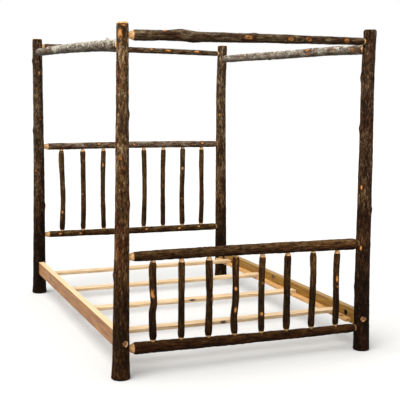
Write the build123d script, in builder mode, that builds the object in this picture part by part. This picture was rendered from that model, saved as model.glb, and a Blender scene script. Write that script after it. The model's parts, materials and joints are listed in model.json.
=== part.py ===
from build123d import *
from dataclasses import dataclass
import math
import os

os.makedirs("parts", exist_ok=True)

# Four poster canopy bed in peeled-end logs with sawn side rails.
# Millimetres. X across the bed, Y from foot to head, Z up.
# Origin on the floor under the middle of the bed.

# ------------------------------------------------------------------ overall sizes
overall_width = 1552.0        # across the outside of the post feet
overall_length = 2118.0       # along the outside of the post feet
post_height = 1820.0          # mean height of the four posts
canopy_drop = 61.0            # axis of the canopy cross rails, down from the post tops
canopy_tenon_gap = 12.0       # between the crossing tenons of the canopy inside a post

# ------------------------------------------------------------------ head and foot panels
headboard_top_height = 1064.0
headboard_bottom_height = 420.0
footboard_top_height = 631.0
footboard_bottom_height = 143.0
spindle_count = 8
spindle_margin = 226.5        # axis of an end spindle, in from the outside of the post feet
spindle_girth = 37.0

# ------------------------------------------------------------------ logs
post_taper_power = 1.3        # posts lose girth faster near the floor
flare_height = 60.0           # decay height of the swelling at a post foot
post_foot_chamfer = 5.0
post_top_chamfer = 7.0
rail_tenon = 30.0             # diameter of the round tenons of the long rails
rail_cone = 34.0              # length of the peeled taper next to a rail tenon
rail_tenon_past_axis = 10.0   # how far a rail tenon runs past the axis of its post
spindle_tenon = 22.0
spindle_cone = 27.0
spindle_tip_short = 2.0       # spindle tips stop this far short of the rail axis
tenon_clearance = 0.3         # radial gap for glue
mortise_extra = 2.0           # blind mortises run on past the tenon tip
shoulder_gap = 1.0            # cones start this far outside the log they enter

# ------------------------------------------------------------------ sawn rails, cleats, slats
board_thickness = 38.0        # side rails
board_height = 89.0
side_rail_inset = 43.0        # outer face of a side rail, in from the outside of the post feet
side_rail_bottom = 142.0
board_easing = 3.0
housing_depth = 12.0          # pocket in the post that takes the end of a side rail
housing_clearance = 0.5
cleat_width = 38.0
cleat_thickness = 19.0
cleat_lift = 12.0             # cleat underside above the underside of the rail
cleat_end_gap = 18.0          # from the surface of the post
slat_count = 4
slat_margin = 283.5           # axis of an end slat, in from the outside of the post feet
slat_width = 64.0
slat_thickness = 19.0
slat_end_gap = 3.0
slat_easing = 1.5

# ------------------------------------------------------------------ bed bolts
bolt_above_rail_bottom = 50.0
bolt_diameter = 10.0
bolt_hole_clearance = 0.5     # radial
bolt_past_nut = 3.0
head_across = 1.7 * bolt_diameter
head_thickness = 0.64 * bolt_diameter
nut_thickness = 0.8 * bolt_diameter
washer_diameter = 2.1 * bolt_diameter
washer_thickness = 2.0
thread_clearance = 0.1        # radial, nut on bolt
counterbore_clearance = 1.0   # radial, round the washer
counterbore_depth = 22.0
rim_width = 5.5               # tapered mouth whittled round the counterbore
rim_depth = 6.0
plug_clearance = 0.3          # radial
plug_gap = 1.0                # from the bolt head to the plug
plug_easing = 1.5
pocket_diameter = 2.5 * bolt_diameter       # nut pocket in the inner face of a side rail
pocket_setback = 122.0        # from the post axis
pocket_past_axis = 1.3 * bolt_diameter      # blind pocket runs on past the bolt axis
half_washer_length = 2.2 * bolt_diameter
half_washer_clearance = 0.3

# ------------------------------------------------------------------ wood screws
screw_diameter = 4.5
screw_head = 9.0
screw_head_depth = 3.0
screw_clearance = 0.1         # radial, in the pilot hole
pilot_extra = 1.0             # pilot holes run on past the screw tip
screw_tip = 4.0
cleat_screw_bite = 20.0       # into the side rail
slat_screw_bite = 15.0        # into the cleat
slat_screw_spread = 34.0      # between the two screws at a slat end


# ------------------------------------------------------------------ helpers
def section(centre, along, side, diameter):
    """Round section of a log, square to its length."""
    with BuildSketch(Plane(origin=centre, x_dir=side, z_dir=along)) as profile:
        Circle(diameter / 2)
    return profile.sketch


def unit(a, b):
    return (b - a).normalized()


@dataclass
class Post:
    """Upright log: girths at foot, above the flare and at the top, and how far it leans in."""
    side: int
    end: int
    foot: float
    shaft: float
    top: float
    lean: float                # the top stands this much further in than the foot
    taller: float = 0.0

    @property
    def height(self):
        return post_height + self.taller

    def girth(self, z):
        run = max(0.0, 1 - z / self.height)
        taper = self.top + (self.shaft - self.top) * run ** post_taper_power
        return taper + (self.foot - self.shaft) * math.exp(-z / flare_height)

    def axis(self, z):
        x = overall_width / 2 - self.foot / 2 - self.lean * z / self.height
        return Vector(self.side * x, self.end * (overall_length / 2 - self.foot / 2), z)

    def profile(self):
        """Half outline from the foot to the top, across the log and up its axis."""
        low, high = post_foot_chamfer, self.height - post_top_chamfer
        swell = [low + k * flare_height for k in (0, 0.5, 1.2, 2.5)]
        rest = [high * k / 5 for k in (1.5, 2, 3, 4, 5)]
        outline = [(self.girth(z) / 2, z) for z in swell + rest]
        level = Vector(0, -self.side, 0)
        outward = self.upright().cross(level)
        with BuildSketch(Plane(origin=self.axis(0), x_dir=outward, z_dir=level)) as half:
            with BuildLine():
                Polyline((0, 0), (self.foot / 2 - post_foot_chamfer, 0), *outline,
                         (self.top / 2 - post_top_chamfer, self.height), (0, self.height),
                         close=True)
            make_face()
        return half.sketch

    def upright(self):
        return unit(self.axis(0), self.axis(self.height))


@dataclass
class Rail:
    """Round rail between two posts, tenoned into both."""
    a: Post
    b: Post
    height_a: float
    height_b: float
    girth_a: float
    girth_b: float
    bow: float = 0.0           # rise of the middle above a straight line

    def __post_init__(self):
        self.pa, self.pb = self.a.axis(self.height_a), self.b.axis(self.height_b)
        self.along = unit(self.pa, self.pb)
        self.side = Vector(0, 0, 1).cross(self.along).normalized()
        self.up = self.along.cross(self.side)
        self.span = (self.pb - self.pa).length
        self.reach_a = self.a.girth(self.height_a) / 2 + shoulder_gap
        self.reach_b = self.b.girth(self.height_b) / 2 + shoulder_gap
        self.first = self.reach_a + rail_cone
        self.last = self.span - self.reach_b - rail_cone

    def girth(self, s):
        share = (s - self.first) / (self.last - self.first)
        return self.girth_a + (self.girth_b - self.girth_a) * min(1.0, max(0.0, share))

    def axis(self, s):
        share = min(1.0, max(0.0, (s - self.first) / (self.last - self.first)))
        return self.pa + self.along * s + self.up * (self.bow * math.sin(math.pi * share))

    def at_x(self, x):
        return (x - self.pa.X) / self.along.X

    def slices(self):
        steps = 6
        stations = [self.first + (self.last - self.first) * k / steps for k in range(steps + 1)]
        return [section(self.axis(s), self.along, self.side, self.girth(s)) for s in stations]

    def tenon_a(self):
        return section(self.pa - self.along * rail_tenon_past_axis, self.along, self.side, rail_tenon)

    def tenon_b(self):
        return section(self.pb + self.along * rail_tenon_past_axis, -self.along, self.side, rail_tenon)

    def shoulder_a(self):
        return section(self.pa + self.along * self.reach_a, self.along, self.side, rail_tenon)

    def shoulder_b(self):
        return section(self.pb - self.along * self.reach_b, self.along, self.side, rail_tenon)

    def mortise(self, post):
        """Blind round hole in one of the two posts, drilled along the rail axis."""
        centre, way = (self.pa, self.along) if post is self.a else (self.pb, -self.along)
        start = centre - way * (rail_tenon_past_axis + mortise_extra)
        depth = rail_tenon_past_axis + mortise_extra + post.girth(centre.Z)
        return section(start, way, self.side, rail_tenon + 2 * tenon_clearance), depth


@dataclass
class Spindle:
    """Upright stick between the two rails of a panel."""
    x: float
    lower: Rail
    upper: Rail
    girth: float
    bow: float

    def __post_init__(self):
        low, high = self.lower.at_x(self.x), self.upper.at_x(self.x)
        self.foot = self.lower.axis(low) + Vector(0, 0, spindle_tip_short)
        self.head = self.upper.axis(high) - Vector(0, 0, spindle_tip_short)
        self.along = unit(self.foot, self.head)
        self.low_face = self.lower.girth(low) / 2 - spindle_tip_short + shoulder_gap
        self.high_face = self.upper.girth(high) / 2 - spindle_tip_short + shoulder_gap
        self.span = (self.head - self.foot).length

    def point(self, s, off=0.0):
        return self.foot + self.along * s + Vector(off, 0, 0)

    def slices(self):
        steps = 4
        first, last = self.low_face + spindle_cone, self.span - self.high_face - spindle_cone
        out = []
        for k in range(steps + 1):
            share = k / steps
            s = first + (last - first) * share
            swell = 1 + 0.04 * math.cos(2 * math.pi * share)
            out.append(section(self.point(s, self.bow * math.sin(math.pi * share)), self.along,
                               Vector(1, 0, 0), self.girth * swell))
        return out

    def mortise(self, rail):
        """Blind round hole in one of the two panel rails."""
        tip, way = (self.foot, self.along) if rail is self.lower else (self.head, -self.along)
        start = tip - way * mortise_extra
        return section(start, way, Vector(1, 0, 0), spindle_tenon + 2 * tenon_clearance)


# ------------------------------------------------------------------ the posts
foot_left = Post(side=-1, end=-1, foot=102, shaft=91, top=61, lean=11, taller=-5)
foot_right = Post(side=1, end=-1, foot=94, shaft=91, top=72, lean=15, taller=6)
head_left = Post(side=-1, end=1, foot=106, shaft=92, top=67, lean=8, taller=4)
head_right = Post(side=1, end=1, foot=98, shaft=92, top=71, lean=14, taller=-3)

# ------------------------------------------------------------------ the round rails
canopy_height = post_height - canopy_drop
side_height = canopy_height - rail_tenon - canopy_tenon_gap
canopy_foot = Rail(foot_left, foot_right, canopy_height - 8, canopy_height + 1, 56, 42, 3)
canopy_head = Rail(head_left, head_right, canopy_height + 12, canopy_height - 4, 44, 39, 3)
canopy_left = Rail(foot_left, head_left, side_height - 14, side_height + 13, 60, 51, 7)
canopy_right = Rail(foot_right, head_right, side_height + 1, side_height - 2, 54, 54, 4)
head_top = Rail(head_left, head_right, headboard_top_height, headboard_top_height, 48, 50, 3)
head_low = Rail(head_left, head_right, headboard_bottom_height + 6, headboard_bottom_height - 6,
                44, 51, -2)
foot_top = Rail(foot_left, foot_right, footboard_top_height + 6, footboard_top_height - 6, 52, 64, 3)
foot_low = Rail(foot_left, foot_right, footboard_bottom_height + 11, footboard_bottom_height - 11,
                64, 48, -3)

named_rails = {
    "canopy_rail_foot": canopy_foot, "canopy_rail_head": canopy_head,
    "canopy_rail_left": canopy_left, "canopy_rail_right": canopy_right,
    "headboard_top_rail": head_top, "headboard_bottom_rail": head_low,
    "footboard_top_rail": foot_top, "footboard_bottom_rail": foot_low,
}


# ------------------------------------------------------------------ the spindles
spindle_pitch = (overall_width - 2 * spindle_margin) / (spindle_count - 1)


def spindle_row(lower, upper, phase):
    """Evenly spaced spindles, each with its own small bow and girth."""
    row = []
    for i in range(spindle_count):
        x = (i - (spindle_count - 1) / 2) * spindle_pitch
        girth = spindle_girth * (1 + 0.05 * math.sin(2.3 * i + phase))
        row.append(Spindle(x, lower, upper, girth, 4.5 * math.sin(1.7 * i + 2 * phase)))
    return row


headboard_row = spindle_row(head_low, head_top, 0.6)
footboard_row = spindle_row(foot_low, foot_top, 2.1)
spindles_of = {id(r): [] for r in named_rails.values()}
for stick in headboard_row + footboard_row:
    spindles_of[id(stick.lower)].append(stick)
    spindles_of[id(stick.upper)].append(stick)


# ------------------------------------------------------------------ side rail layout
rail_clear_width = overall_width - 2 * (side_rail_inset + board_thickness)
rail_x = rail_clear_width / 2 + board_thickness / 2
rail_mid_height = side_rail_bottom + board_height / 2
bolt_height = side_rail_bottom + bolt_above_rail_bottom
bolt_hole = bolt_diameter + 2 * bolt_hole_clearance
counterbore = washer_diameter + 2 * counterbore_clearance
cleat_top = side_rail_bottom + cleat_lift + cleat_thickness
cleat_x = rail_clear_width / 2 - cleat_width / 2


def bolt_line(post):
    """Where the bed bolt of a post crosses it: a point on the post and the way into the bed."""
    axis = post.axis(bolt_height)
    return Vector(post.side * rail_x, axis.Y, bolt_height), Vector(0, -post.end, 0)


def post_face(post):
    """Half chord of the post on the line of its bed bolt."""
    offset = post.side * rail_x - post.axis(bolt_height).X
    return math.sqrt((post.girth(bolt_height) / 2) ** 2 - offset ** 2)


def housing_y(post):
    return post.axis(bolt_height).Y - post.end * (post_face(post) - housing_depth)


def box_profile(centre, along, width, height, easing):
    with BuildSketch(Plane(origin=centre, x_dir=(1, 0, 0), z_dir=along)) as profile:
        RectangleRounded(width, height, easing)
    return profile.sketch


# ------------------------------------------------------------------ build: posts
posts = {"foot_post_left": foot_left, "foot_post_right": foot_right,
         "head_post_left": head_left, "head_post_right": head_right}

for name, post in posts.items():
    on_bolt, inward = bolt_line(post)
    with BuildPart() as log:
        revolve(post.profile(), axis=Axis(post.axis(0), post.upright()))
        split(bisect_by=Plane.XY, keep=Keep.TOP)
        # housing for the end of the side rail
        floor = Vector(on_bolt.X, housing_y(post), rail_mid_height)
        extrude(box_profile(floor, inward, board_thickness + 2 * housing_clearance,
                            board_height + 2 * housing_clearance, board_easing),
                amount=2 * housing_depth, mode=Mode.SUBTRACT)
        for rail in named_rails.values():
            if post is rail.a or post is rail.b:
                hole, depth = rail.mortise(post)
                extrude(hole, amount=depth, mode=Mode.SUBTRACT)
        # through hole and counterbore for the bed bolt
        outer = on_bolt - inward * (post_face(post) - counterbore_depth)
        extrude(section(outer, inward, (1, 0, 0), bolt_hole), amount=post.girth(bolt_height),
                mode=Mode.SUBTRACT)
        extrude(section(outer, -inward, (1, 0, 0), counterbore), amount=2 * counterbore_depth,
                mode=Mode.SUBTRACT)
        # tapered mouth of the counterbore, widening at the same rate past the bark
        inner = outer - inward * (counterbore_depth - rim_depth)
        with Locations(Plane(origin=inner, x_dir=(1, 0, 0), z_dir=-inward)):
            Cone(counterbore / 2, counterbore / 2 + 2 * rim_width, 2 * rim_depth,
                 align=(Align.CENTER, Align.CENTER, Align.MIN), mode=Mode.SUBTRACT)
    log.part.label = name
    export_step(log.part, f"parts/{name}.step")

# ------------------------------------------------------------------ build: round rails
for name, rail in named_rails.items():
    slices = rail.slices()
    with BuildPart() as log:
        loft(sections=slices)
        loft(sections=[rail.shoulder_a(), slices[0]], ruled=True)
        loft(sections=[slices[-1], rail.shoulder_b()], ruled=True)
        extrude(rail.tenon_a(), amount=rail.reach_a + rail_tenon_past_axis)
        extrude(rail.tenon_b(), amount=rail.reach_b + rail_tenon_past_axis)
        for stick in spindles_of[id(rail)]:
            extrude(stick.mortise(rail), amount=rail.girth(rail.at_x(stick.x)), mode=Mode.SUBTRACT)
    log.part.label = name
    export_step(log.part, f"parts/{name}.step")

# ------------------------------------------------------------------ build: spindles
for panel, row in (("headboard", headboard_row), ("footboard", footboard_row)):
    for i, stick in enumerate(row, start=1):
        name = f"{panel}_spindle_{i}"
        slices = stick.slices()
        across = Vector(1, 0, 0)
        low = stick.point(stick.low_face)
        high = stick.point(stick.span - stick.high_face)
        with BuildPart() as log:
            loft(sections=slices)
            loft(sections=[section(low, stick.along, across, spindle_tenon), slices[0]], ruled=True)
            loft(sections=[slices[-1], section(high, stick.along, across, spindle_tenon)], ruled=True)
            extrude(section(stick.foot, stick.along, across, spindle_tenon), amount=stick.low_face)
            extrude(section(stick.head, -stick.along, across, spindle_tenon), amount=stick.high_face)
        log.part.label = name
        export_step(log.part, f"parts/{name}.step")

# ------------------------------------------------------------------ side rails, cleats, slats
sides = {"left": (foot_left, head_left), "right": (foot_right, head_right)}
slat_pitch = (overall_length - 2 * slat_margin) / (slat_count - 1)
slat_ys = [(i - (slat_count - 1) / 2) * slat_pitch for i in range(slat_count)]
screw_hole = screw_diameter + 2 * screw_clearance
cleat_screw_length = cleat_width + cleat_screw_bite
slat_screw_length = slat_thickness + slat_screw_bite


def cleat_span(pair):
    return [p.axis(bolt_height).Y - p.end * (post_face(p) + cleat_end_gap) for p in pair]


def cleat_screw_ys(pair):
    """Screws sit between the slats and outside the end slats."""
    mid = [k * slat_pitch for k in (-1, 0, 1)]
    outer = (slat_ys[-1] + slat_width / 2 + min(abs(y) for y in cleat_span(pair))) / 2
    return [-outer] + mid + [outer]


def cleat_screw(side, y):
    """Head centre of a screw through the cleat and the way it is driven."""
    z = cleat_top - cleat_thickness / 2
    return Vector(side * (rail_clear_width / 2 - cleat_width), y, z), Vector(side, 0, 0)


def slat_screws_at(side, y):
    z = cleat_top + slat_thickness
    return [Vector(side * cleat_x, y + k * slat_screw_spread / 2, z) for k in (-1, 1)]


for word, pair in sides.items():
    foot, head = pair
    side = foot.side
    y0, y1 = housing_y(foot), housing_y(head)
    with BuildPart() as board:
        extrude(box_profile((side * rail_x, y0, rail_mid_height), (0, 1, 0), board_thickness,
                            board_height, board_easing), amount=y1 - y0)
        for post in pair:
            on_bolt, inward = bolt_line(post)
            start = Vector(on_bolt.X, housing_y(post), bolt_height)
            pocket_y = on_bolt.Y + inward.Y * pocket_setback
            extrude(section(start, inward, (1, 0, 0), bolt_hole),
                    amount=abs(pocket_y - start.Y), mode=Mode.SUBTRACT)
            pocket = Vector(on_bolt.X + side * pocket_past_axis, pocket_y, bolt_height)
            extrude(section(pocket, (-side, 0, 0), (0, 1, 0), pocket_diameter),
                    amount=board_thickness, mode=Mode.SUBTRACT)
        for y in cleat_screw_ys(pair):
            start, way = cleat_screw(side, y)
            extrude(section(start, way, (0, 1, 0), screw_hole),
                    amount=cleat_screw_length + pilot_extra, mode=Mode.SUBTRACT)
    board.part.label = f"side_rail_{word}"
    export_step(board.part, f"parts/side_rail_{word}.step")

    c0, c1 = cleat_span(pair)
    with BuildPart() as strip:
        extrude(box_profile((side * cleat_x, c0, cleat_top - cleat_thickness / 2), (0, 1, 0),
                            cleat_width, cleat_thickness, slat_easing), amount=c1 - c0)
        for y in cleat_screw_ys(pair):
            start, way = cleat_screw(side, y)
            extrude(section(start, way, (0, 1, 0), screw_hole), amount=cleat_width,
                    mode=Mode.SUBTRACT)
            with Locations(Plane(origin=start, x_dir=(0, 1, 0), z_dir=way)):
                Cone(screw_head / 2 + screw_clearance, screw_hole / 2, screw_head_depth,
                     align=(Align.CENTER, Align.CENTER, Align.MIN), mode=Mode.SUBTRACT)
        for y in slat_ys:
            for spot in slat_screws_at(side, y):
                start = Vector(spot.X, spot.Y, cleat_top)
                extrude(section(start, (0, 0, -1), (1, 0, 0), screw_hole),
                        amount=slat_screw_bite + pilot_extra, mode=Mode.SUBTRACT)
    strip.part.label = f"cleat_{word}"
    export_step(strip.part, f"parts/cleat_{word}.step")

slat_length = rail_clear_width - 2 * slat_end_gap
for i, y in enumerate(slat_ys, start=1):
    with BuildPart() as slat:
        with BuildSketch(Plane(origin=(-slat_length / 2, y, cleat_top + slat_thickness / 2),
                               x_dir=(0, 1, 0), z_dir=(1, 0, 0))):
            RectangleRounded(slat_width, slat_thickness, slat_easing)
        extrude(amount=slat_length)
        for side in (-1, 1):
            for spot in slat_screws_at(side, y):
                extrude(section(spot, (0, 0, -1), (1, 0, 0), screw_hole), amount=slat_thickness,
                        mode=Mode.SUBTRACT)
                with Locations(Plane(origin=spot, x_dir=(1, 0, 0), z_dir=(0, 0, -1))):
                    Cone(screw_head / 2 + screw_clearance, screw_hole / 2, screw_head_depth,
                         align=(Align.CENTER, Align.CENTER, Align.MIN), mode=Mode.SUBTRACT)
    slat.part.label = f"slat_{i}"
    export_step(slat.part, f"parts/slat_{i}.step")

# ------------------------------------------------------------------ bed bolt sets
nut_near = nut_thickness / 2              # the nut is centred in its pocket


def bolt_frame(post):
    """Counterbore floor of a post, the way into the bed, and the depth to the pocket centre."""
    on_bolt, inward = bolt_line(post)
    floor = on_bolt - inward * (post_face(post) - counterbore_depth)
    return floor, inward, pocket_setback + post_face(post) - counterbore_depth


def hexagon(centre, along, hole=0.0):
    with BuildSketch(Plane(origin=centre, x_dir=(1, 0, 0), z_dir=along)) as profile:
        RegularPolygon(head_across / 2, 6, major_radius=False)
        if hole:
            Circle(hole / 2, mode=Mode.SUBTRACT)
    return profile.sketch


frames = [bolt_frame(post) for post in posts.values()]

with BuildPart() as bed_bolts:
    for floor, inward, reach in frames:
        seat = floor - inward * washer_thickness
        extrude(hexagon(seat, -inward), amount=head_thickness)
        extrude(section(seat, inward, (1, 0, 0), bolt_diameter),
                amount=washer_thickness + reach + nut_near + bolt_past_nut)
bed_bolts.part.label = "bed_bolts"
export_step(bed_bolts.part, "parts/bed_bolts.step")

with BuildPart() as bolt_washers:
    for floor, inward, reach in frames:
        with BuildSketch(Plane(origin=floor, x_dir=(1, 0, 0), z_dir=-inward)):
            Circle(washer_diameter / 2)
            Circle(bolt_hole / 2, mode=Mode.SUBTRACT)
        extrude(amount=washer_thickness)
bolt_washers.part.label = "bolt_washers"
export_step(bolt_washers.part, "parts/bolt_washers.step")

with BuildPart() as bed_nuts:
    for floor, inward, reach in frames:
        extrude(hexagon(floor + inward * (reach - nut_near), inward,
                        hole=bolt_diameter + 2 * thread_clearance), amount=nut_thickness)
bed_nuts.part.label = "bed_nuts"
export_step(bed_nuts.part, "parts/bed_nuts.step")

# half round washers fill each pocket between its curved wall and the nut
with BuildPart() as half_washers:
    radius = pocket_diameter / 2 - half_washer_clearance
    for floor, inward, reach in frames:
        centre = floor + inward * reach
        with BuildSketch(Plane(origin=centre - Vector(half_washer_length / 2, 0, 0),
                               x_dir=inward, z_dir=(1, 0, 0))):
            Circle(radius)
            with Locations((-nut_near, 0)):
                Rectangle(2 * radius, 2 * radius, align=(Align.MIN, Align.CENTER),
                          mode=Mode.SUBTRACT)
        extrude(amount=half_washer_length)
        extrude(section(centre - inward * pocket_diameter / 2, inward, (1, 0, 0), bolt_hole),
                amount=pocket_diameter / 2, mode=Mode.SUBTRACT)
half_washers.part.label = "half_washers"
export_step(half_washers.part, "parts/half_washers.step")

with BuildPart() as bolt_plugs:
    plug_start = washer_thickness + head_thickness + plug_gap
    for floor, inward, reach in frames:
        extrude(section(floor - inward * plug_start, -inward, (1, 0, 0),
                        counterbore - 2 * plug_clearance),
                amount=counterbore_depth - rim_depth - plug_start)
    for plug in bolt_plugs.solids():
        outer_face = plug.faces().sort_by(lambda f: abs(f.center().Y))[-1]
        chamfer(outer_face.edges(), plug_easing)
bolt_plugs.part.label = "bolt_plugs"
export_step(bolt_plugs.part, "parts/bolt_plugs.step")


# ------------------------------------------------------------------ wood screws
def add_screw(start, way, x_dir, length):
    """Countersunk screw with its head flush at the start point."""
    shank = length - screw_head_depth - screw_tip
    middle = start + way * screw_head_depth
    with Locations(Plane(origin=start, x_dir=x_dir, z_dir=way)):
        Cone(screw_head / 2, screw_diameter / 2, screw_head_depth,
             align=(Align.CENTER, Align.CENTER, Align.MIN))
    with Locations(Plane(origin=middle, x_dir=x_dir, z_dir=way)):
        Cylinder(screw_diameter / 2, shank, align=(Align.CENTER, Align.CENTER, Align.MIN))
    with Locations(Plane(origin=middle + way * shank, x_dir=x_dir, z_dir=way)):
        Cone(screw_diameter / 2, screw_diameter / 8, screw_tip,
             align=(Align.CENTER, Align.CENTER, Align.MIN))


with BuildPart() as cleat_screws:
    for pair in sides.values():
        for y in cleat_screw_ys(pair):
            start, way = cleat_screw(pair[0].side, y)
            add_screw(start, way, (0, 1, 0), cleat_screw_length)
cleat_screws.part.label = "cleat_screws"
export_step(cleat_screws.part, "parts/cleat_screws.step")

with BuildPart() as slat_screws:
    for side in (-1, 1):
        for y in slat_ys:
            for spot in slat_screws_at(side, y):
                add_screw(spot, Vector(0, 0, -1), (1, 0, 0), slat_screw_length)
slat_screws.part.label = "slat_screws"
export_step(slat_screws.part, "parts/slat_screws.step")
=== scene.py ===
import json
import math
from dataclasses import dataclass

import bpy
import numpy as np
from mathutils import Matrix, Vector
from mathutils.bvhtree import BVHTree


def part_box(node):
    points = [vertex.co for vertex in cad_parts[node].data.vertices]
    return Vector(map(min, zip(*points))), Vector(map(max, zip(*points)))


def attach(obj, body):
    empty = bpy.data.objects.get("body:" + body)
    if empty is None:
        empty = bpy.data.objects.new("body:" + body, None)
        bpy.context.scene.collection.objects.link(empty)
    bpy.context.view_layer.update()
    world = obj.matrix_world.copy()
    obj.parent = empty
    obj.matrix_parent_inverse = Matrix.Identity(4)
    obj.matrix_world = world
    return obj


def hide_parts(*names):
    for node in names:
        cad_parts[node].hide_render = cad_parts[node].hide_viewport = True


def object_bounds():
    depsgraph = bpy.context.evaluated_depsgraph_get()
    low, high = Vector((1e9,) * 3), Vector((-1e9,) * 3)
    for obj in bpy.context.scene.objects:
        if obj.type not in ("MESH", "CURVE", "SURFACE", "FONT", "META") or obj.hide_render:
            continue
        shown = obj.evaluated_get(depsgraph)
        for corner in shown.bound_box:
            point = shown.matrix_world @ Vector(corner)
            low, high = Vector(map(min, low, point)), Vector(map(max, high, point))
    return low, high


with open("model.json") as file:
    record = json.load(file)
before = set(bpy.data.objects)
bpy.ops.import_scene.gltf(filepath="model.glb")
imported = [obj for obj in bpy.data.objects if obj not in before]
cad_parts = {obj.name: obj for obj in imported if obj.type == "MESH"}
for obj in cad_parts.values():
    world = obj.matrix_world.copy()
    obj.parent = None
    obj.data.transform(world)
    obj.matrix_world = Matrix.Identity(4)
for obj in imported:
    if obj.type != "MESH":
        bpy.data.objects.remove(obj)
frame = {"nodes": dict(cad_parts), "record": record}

# Four poster log bed. Metres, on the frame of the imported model: X across the bed,
# Y from foot to head, Z up, floor at zero.

cad_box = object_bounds()
record = frame["record"]
slot_of = {part["node"]: part["material_slot"] for part in record["subparts"]}


# ------------------------------------------------------------------ small tools
def linear(text):
    """Turns an sRGB hex colour into the linear colour, with alpha, that shaders use."""
    parts = [int(text[k:k + 2], 16) / 255 for k in (1, 3, 5)]
    return [p / 12.92 if p <= 0.04045 else ((p + 0.055) / 1.055) ** 2.4 for p in parts] + [1.0]


def feed(tree, node, feeds):
    """Fills a node's inputs, by name or by place, each with a value, a colour or a link."""
    for key, value in feeds.items():
        ready = [s for s in node.inputs if s.enabled]
        socket = ready[key] if isinstance(key, int) else next(s for s in ready if s.name == key)
        if isinstance(value, bpy.types.Node):
            value = next(s for s in value.outputs if s.enabled)
        if isinstance(value, bpy.types.NodeSocket):
            tree.links.new(value, socket)
        else:
            socket.default_value = linear(value) if str(value).startswith("#") else value


def put(tree, kind, feeds=None, stops=(), **settings):
    """Adds a node with its settings, its inputs and, on a colour ramp, its stops."""
    node = tree.nodes.new(kind)
    for key, value in settings.items():
        setattr(node, key, value)
    feed(tree, node, feeds or {})
    for _ in stops[2:]:
        node.color_ramp.elements.new(0.5)
    if stops:
        for element, (place, colour) in zip(node.color_ramp.elements, stops):
            element.position = place
            element.color = linear(colour)
    return node


def per_mm(size):
    """Texture scale, per metre, of a feature that is this many millimetres across."""
    return 1000.0 / size


def new_finish(name, **shader_values):
    """A material with a Principled shader, and its node tree."""
    finish = bpy.data.materials.new(name)
    finish.use_nodes = True
    shader = finish.node_tree.nodes["Principled BSDF"]
    for key, value in shader_values.items():
        shader.inputs[key.replace("_", " ")].default_value = value
    return finish, finish.node_tree, shader


# ------------------------------------------------------------------ finishes
def coated(tree, shade, *coats):
    """Lays coats of colour over a shade, each where some value runs from low to high.

    A coat is (value, low, high, strength, colour, the way it blends).
    """
    for value, low, high, strength, colour, way in coats:
        mask = put(tree, "ShaderNodeMapRange", {"Value": value, "From Min": low, "From Max": high,
                                                "To Max": strength}, interpolation_type="SMOOTHSTEP")
        shade = put(tree, "ShaderNodeMix", {"Factor": mask, "A": shade, "B": colour},
                    data_type="RGBA", blend_type=way)
    return shade


# freshly whittled softwood: warm peach with toffee brown streaks
PEELED = ((0.30, "#86592f"), (0.45, "#bb8e5c"), (0.60, "#cfab7a"), (0.8, "#e0c498"))

POST_TOP = cad_box[1][2]
rail_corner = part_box("side_rail_left")[1]
RAIL_TOP = rail_corner.z
washer_low, washer_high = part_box("half_washers")
POCKET_INSET = 0.0122          # centre of a nut pocket, in from the end of the half round washer
NUT_POCKET = (-rail_corner.x, washer_high.y - POCKET_INSET, (washer_low.z + washer_high.z) / 2)

# bark is dark and warm near the floor, where it stood wet, and dries to grey towards the top;
# the ramp also holds painted shade, darker near the floor and paler towards the top
WEATHER_AND_SHADE = ((0.0, "#6d5c45"), (0.19, "#655e4f"), (0.36, "#b6ada1"), (0.55, "#ced8e0"), (0.85, "#e2efff"))


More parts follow.
